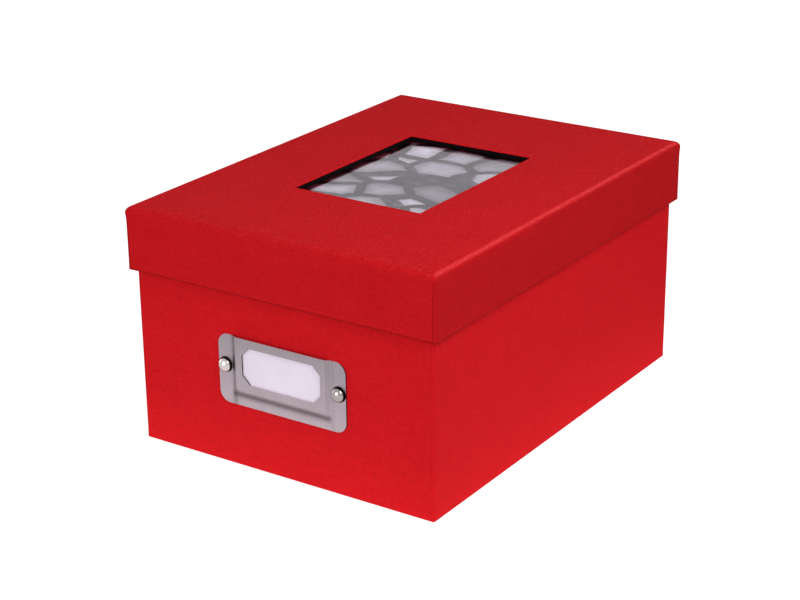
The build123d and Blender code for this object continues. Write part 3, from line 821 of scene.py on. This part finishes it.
def lid_cloth(material):
    """The lid's cover: through the window, over the top, down the skirt and up inside it."""
    low, high = corner_places("lid_cloth")
    window = window_half_size()
    cover = CoverRings(high.x, high.y)
    top = high.z
    under_flap = corner_places("window_pane")[1].z
    under_board = under_flap + CLOTH_THICKNESS
    under_top = top - CLOTH_THICKNESS
    skirt_top = top - LID_TOP_RADIUS
    skirt_low = low.z + LID_LOWER_RADIUS
    turn_end = low.z + LID_TURN_IN
    to_board = high.x - corner_places("lid_right_board")[0].x
    flap_end = CLOTH_THICKNESS + WINDOW_FLAP

    window_round = arc((WINDOW_EDGE_RADIUS, top - WINDOW_EDGE_RADIUS), WINDOW_EDGE_RADIUS, 180, 90, 4)
    flap = [(flap_end, under_flap)] + [(outset, under_flap + rise) for outset, rise in FLAP_BEND]
    cover.add_window(window, flap)
    wall = spread(under_flap + WINDOW_WALL_MARGIN, top - WINDOW_WALL_MARGIN, 3)
    cover.add_window(window, [(0.0, height) for height in wall])
    cover.add_window(window, window_round)
    cover.rings += lid_top_rings(cover.rings[-1], high)

    # The top edge carries a painted shade and a painted highlight that change along its rounding
    top_round = arc((LID_TOP_RADIUS, skirt_top), LID_TOP_RADIUS, 90, 180, 9)
    corners = spread(LID_TOP_CORNER_RADIUS, LID_TOP_CORNER_RADIUS * 0.8, len(top_round))
    for i, (point, corner) in enumerate(zip(top_round, corners)):
        cover.add([point], corner, corner, 0, rounded_edge_painted_light(i / (len(top_round) - 1)))
    drops = [(0, skirt_top - drop) for drop in SKIRT_DROPS]
    # The skirt carries a painted shade
    cover.add(drops, LID_TOP_CORNER_RADIUS * 0.75, LID_CORNER_RADIUS, 0.5, SKIRT_SHADE)
    skirt = [(0, height) for height in spread(skirt_top - 6.5, skirt_low + 2, 8)]
    cover.add(skirt, LID_CORNER_RADIUS, LID_CORNER_RADIUS, 1.0, SKIRT_SHADE)
    cover.add([(0, skirt_low + 0.6)], LID_CORNER_RADIUS, LID_CORNER_RADIUS, 0.4, SKIRT_SHADE)

    lower_round = arc((LID_LOWER_RADIUS, skirt_low), LID_LOWER_RADIUS, 180, 270, 4)
    # The lower edge carries a painted shadow
    cover.add(lower_round, LID_CORNER_RADIUS, 0.6, 0, LOWER_EDGE_SHADOW)
    inside = to_board + CLOTH_THICKNESS
    inner_round = arc((inside - LID_LOWER_RADIUS, skirt_low), LID_LOWER_RADIUS, -90, 0, 4)
    cover.add(inner_round, 0.5, SHARP_CORNER, 0)
    turned_in = [(inside, height) for height in spread(skirt_low + 1, turn_end, 4)]
    cover.add(turned_in, SHARP_CORNER, SHARP_CORNER, 0)

    glued_low = low.z + CLOTH_THICKNESS
    glued_side = [(to_board, turn_end), (to_board, glued_low), (CLOTH_THICKNESS, glued_low)]
    glued_side += [(CLOTH_THICKNESS, skirt_top)]
    glued_side += arc((LID_TOP_RADIUS, skirt_top), LID_TOP_RADIUS - CLOTH_THICKNESS, 180, 90, 4)
    cover.add(glued_side, SHARP_CORNER, LID_CORNER_RADIUS, 0)
    glued_flap = [(CLOTH_THICKNESS, under_top), (CLOTH_THICKNESS, under_board), (flap_end, under_board)]
    cover.add_window(window, glued_flap)

    fractions = cover_fractions(high.x, high.y)
    edge = (LID_LAP, LID_CREASE)
    piece = cloth_cover("lid_cloth_cover", cover.rings, fractions, edge, material, "lid", "lid_cloth")


def lid_top_rings(window_ring, high):
    """Rings over the lid's top, from the window's ring to the rounded edge, with a slight dip between."""
    first = window_ring[:4]
    last = (high.x - LID_TOP_RADIUS, high.y - LID_TOP_RADIUS, high.z, LID_TOP_CORNER_RADIUS)
    rings = []
    for share in [0.02, 0.06] + spread(0.12, 0.9, 14) + [0.95, 0.98]:
        width, length, _, corner = (a + (b - a) * share for a, b in zip(first, last))
        dip = LID_TOP_DIP * (1 - math.cos(2 * math.pi * share)) / 2
        rings.append((width, length, high.z - dip, corner, 0, PLAIN))
    return rings


def base_cloth(material):
    """The base's cover: under the floor's edge, up the walls, over the rim and down inside."""
    low, high = corner_places("base_wall_cloth")
    cover = CoverRings(high.x, high.y)
    bottom = low.z
    top = high.z
    wall_low = bottom + BASE_LOWER_RADIUS
    wall_high = top - BASE_RIM_RADIUS
    to_board = high.x + corner_places("base_left_board")[1].x
    turn_end = top - RIM_TURN_IN

    turned_under = [(FLOOR_TURN_UNDER, bottom), (BASE_LOWER_RADIUS + 2, bottom)]
    cover.add(turned_under, SHARP_CORNER, SHARP_CORNER, 0)
    lower_round = arc((BASE_LOWER_RADIUS, wall_low), BASE_LOWER_RADIUS, 270, 180, 6)
    cover.add(lower_round, 0.5, BASE_CORNER_RADIUS, 0)
    cover.add([(0, wall_low + 0.8)], BASE_CORNER_RADIUS, BASE_CORNER_RADIUS, 0.4)
    wall = [(0, height) for height in spread(wall_low + 3, wall_high - 3, 26)]
    cover.add(wall, BASE_CORNER_RADIUS, BASE_CORNER_RADIUS, 1.0)
    cover.add([(0, wall_high - 0.8)], BASE_CORNER_RADIUS, BASE_CORNER_RADIUS, 0.4)

    rim_round = arc((BASE_RIM_RADIUS, wall_high), BASE_RIM_RADIUS, 180, 90, 5)
    cover.add(rim_round, BASE_CORNER_RADIUS, 0.6, 0)
    inside = to_board + CLOTH_THICKNESS
    inner_middle = (inside - BASE_INNER_RIM_RADIUS, top - BASE_INNER_RIM_RADIUS)
    cover.add(arc(inner_middle, BASE_INNER_RIM_RADIUS, 90, 0, 4), 0.5, SHARP_CORNER, 0)
    turned_in = [(inside, height) for height in spread(top - 1, turn_end, 5)]
    cover.add(turned_in, SHARP_CORNER, SHARP_CORNER, 0)

    glued_high = top - CLOTH_THICKNESS
    glued_low = bottom + CLOTH_THICKNESS
    glued = [(to_board, turn_end), (to_board, glued_high), (CLOTH_THICKNESS, glued_high)]
    glued += [(CLOTH_THICKNESS, glued_low), (FLOOR_TURN_UNDER, glued_low)]
    cover.add(glued, SHARP_CORNER, SHARP_CORNER, 0)

    fractions = cover_fractions(high.x, high.y)
    edge = (BASE_LAP, BASE_CREASE)
    piece = cloth_cover("base_cloth_cover", cover.rings, fractions, edge, material, "base", "base_wall_cloth")


# Finishes of the CAD nodes


def finish_nodes():
    """Gives every CAD node that shows as it is the material for the word in its name."""
    finishes = {
        "board": paper("greyboard_fibre", (0.30, 0.28, 0.25), fibre=0.10, grain=0.9),
        "stay": paper("kraft_tape_fibre", (0.38, 0.24, 0.12), fibre=0.08),
        "lining": paper("lining_paper_laid", (0.78, 0.74, 0.66), fibre=0.03),
        "bottom_sheet": paper("bottom_paper_black", (0.03, 0.028, 0.03), fibre=0.15),
        "pocket": paper("pocket_card_black", (0.05, 0.048, 0.05), fibre=0.10),
        "edge_tape": paper("edge_tape_black", (0.005, 0.003, 0.0035), fibre=0.15, gloss=0.02),
        "label_card": paper("label_stock_white", (0.82, 0.74, 0.85), fibre=0.012, grain=0.3),
        "divider": paper("divider_card_cream", (0.72, 0.66, 0.54), fibre=0.05),
        "label_holder": brushed_steel(),
        "brad": polished_nickel(),
        "window_pane": clear_film(),
        "photo_insert": pebble_print(),
    }
    for name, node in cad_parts.items():
        for word, material in finishes.items():
            if word in name:
                node.data.materials.clear()
                node.data.materials.append(material)
                break


def ease_edges(name, width):
    """Rounds the edges of a hidden board, so that the cloth lies softly over its corners."""
    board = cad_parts[name]
    board.modifiers.new("joined_edges", "WELD").merge_threshold = BOARD_JOIN_GAP * MM
    rounding = board.modifiers.new("eased_edges", "BEVEL")
    rounding.width = width * MM
    rounding.segments = BOARD_EASING_SEGMENTS
    rounding.limit_method = "ANGLE"
    rounding.angle_limit = math.radians(BOARD_EASING_ANGLE_DEG)


# Studio


def camera():
    """The photograph's camera."""
    data = bpy.data.cameras.new("camera")
    data.lens = CAMERA_LENS_MM
    data.sensor_width = SENSOR_WIDTH_MM
    data.clip_start, data.clip_end = CAMERA_CLIP
    made = bpy.data.objects.new("camera", data)
    made.location = CAMERA_PLACE
    made.rotation_euler = Euler([math.radians(a) for a in CAMERA_TURN_DEG])
    bpy.context.scene.collection.objects.link(made)
    bpy.context.scene.camera = made


def soft_light(name, place, size, power):
    """A square soft light that the camera doesn't see."""
    data = bpy.data.lights.new(name, "AREA")
    data.shape = "SQUARE"
    data.size = size
    data.energy = power
    made = bpy.data.objects.new(name, data)
    made.location = place
    made.rotation_euler = (Vector(LIGHT_AIM) - Vector(place)).to_track_quat("-Z", "Y").to_euler()
    made.visible_camera = False
    bpy.context.scene.collection.objects.link(made)


def backdrop_share(tree):
    """1 for rays from the camera, and from gloss and glass, and 0 for rays that light the object."""
    path = tree.nodes.new("ShaderNodeLightPath")
    total = path.outputs["Is Camera Ray"]
    for name in ("Is Glossy Ray", "Is Transmission Ray"):
        joined = tree.nodes.new("ShaderNodeMath")
        joined.operation = "MAXIMUM"
        tree.links.new(total, joined.inputs[0])
        tree.links.new(path.outputs[name], joined.inputs[1])
        total = joined.outputs[0]
    return total


def white_world():
    """A white studio that lights the object at the ambient level and shows as plain white."""
    world = bpy.data.worlds.new("studio")
    bpy.context.scene.world = world
    world.use_nodes = True
    tree = world.node_tree
    background = tree.nodes["Background"]
    background.inputs["Color"].default_value = rgb(1.0, 1.0, 1.0)
    strength = tree.nodes.new("ShaderNodeMapRange")
    tree.links.new(backdrop_share(tree), strength.inputs["Value"])
    strength.inputs["To Min"].default_value = AMBIENT
    strength.inputs["To Max"].default_value = 1.0
    tree.links.new(strength.outputs["Result"], background.inputs["Strength"])


def footprint_distance(shader, point, half_size):
    """Distance on the floor from the object's outline, in millimetres."""
    flat = shader.vector("MULTIPLY", shader.vector("ABSOLUTE", point), (1.0, 1.0, 0.0))
    outside = shader.vector("SUBTRACT", flat, (half_size.x, half_size.y, 0.0))
    return shader.vector("LENGTH", shader.vector("MAXIMUM", outside, (0.0, 0.0, 0.0)))


def glow_pool(shader, distance, reach, strength):
    """Light from the floor that fades with a distance."""
    share = shader.math("DIVIDE", distance, reach)
    falloff = shader.math("EXPONENT", shader.product(share, share, -1.0))
    return shader.math("MULTIPLY", falloff, strength)


def lit_sweep():
    """A white floor that glows softly round the object, as a lit sweep does, and keeps its shadow."""
    half = FLOOR_SIZE / 2
    corners = [(-half, -half, 0), (half, -half, 0), (half, half, 0), (-half, half, 0)]
    floor = mesh_object("floor", corners, [(0, 1, 2, 3)], smooth=False)
    shader = Shader("white_sweep")
    point = shader.place()
    distance = footprint_distance(shader, point, corner_places("base_wall_cloth")[1])
    glow = glow_pool(shader, distance, *CONTACT_GLOW)
    for middle, reach, strength in SIDE_GLOWS:
        away = shader.vector("LENGTH", shader.vector("SUBTRACT", point, (*middle, 0.0)))
        glow = shader.math("ADD", glow, glow_pool(shader, away, reach, strength))
    seen = backdrop_share(shader.tree)
    strength = shader.ramp(seen, (0.0, 1.0), glow, FLOOR_SHOWN_LIFT)
    tone = shader.ramp(seen, (0.0, 1.0), FLOOR_BOUNCE, FLOOR_SHOWN_SHADE)
    matt = shader.add("BsdfDiffuse", {"Color": tone})
    light = shader.add("Emission", {"Color": rgb(1.0, 1.0, 1.0), "Strength": strength})
    both = shader.add("AddShader", {0: matt.outputs[0], 1: light.outputs[0]})
    floor.data.materials.append(shader.show(both))


bpy.context.scene.view_settings.view_transform = "Standard"
camera()
cloth = bookcloth()
finish_nodes()
ease_edges("lid_top_board", BOARD_EASING)
lid_cloth(cloth)
base_cloth(cloth)

white_world()
lit_sweep()
for name, place, size, power in SOFT_LIGHTS:
    soft_light(name, place, size, power)
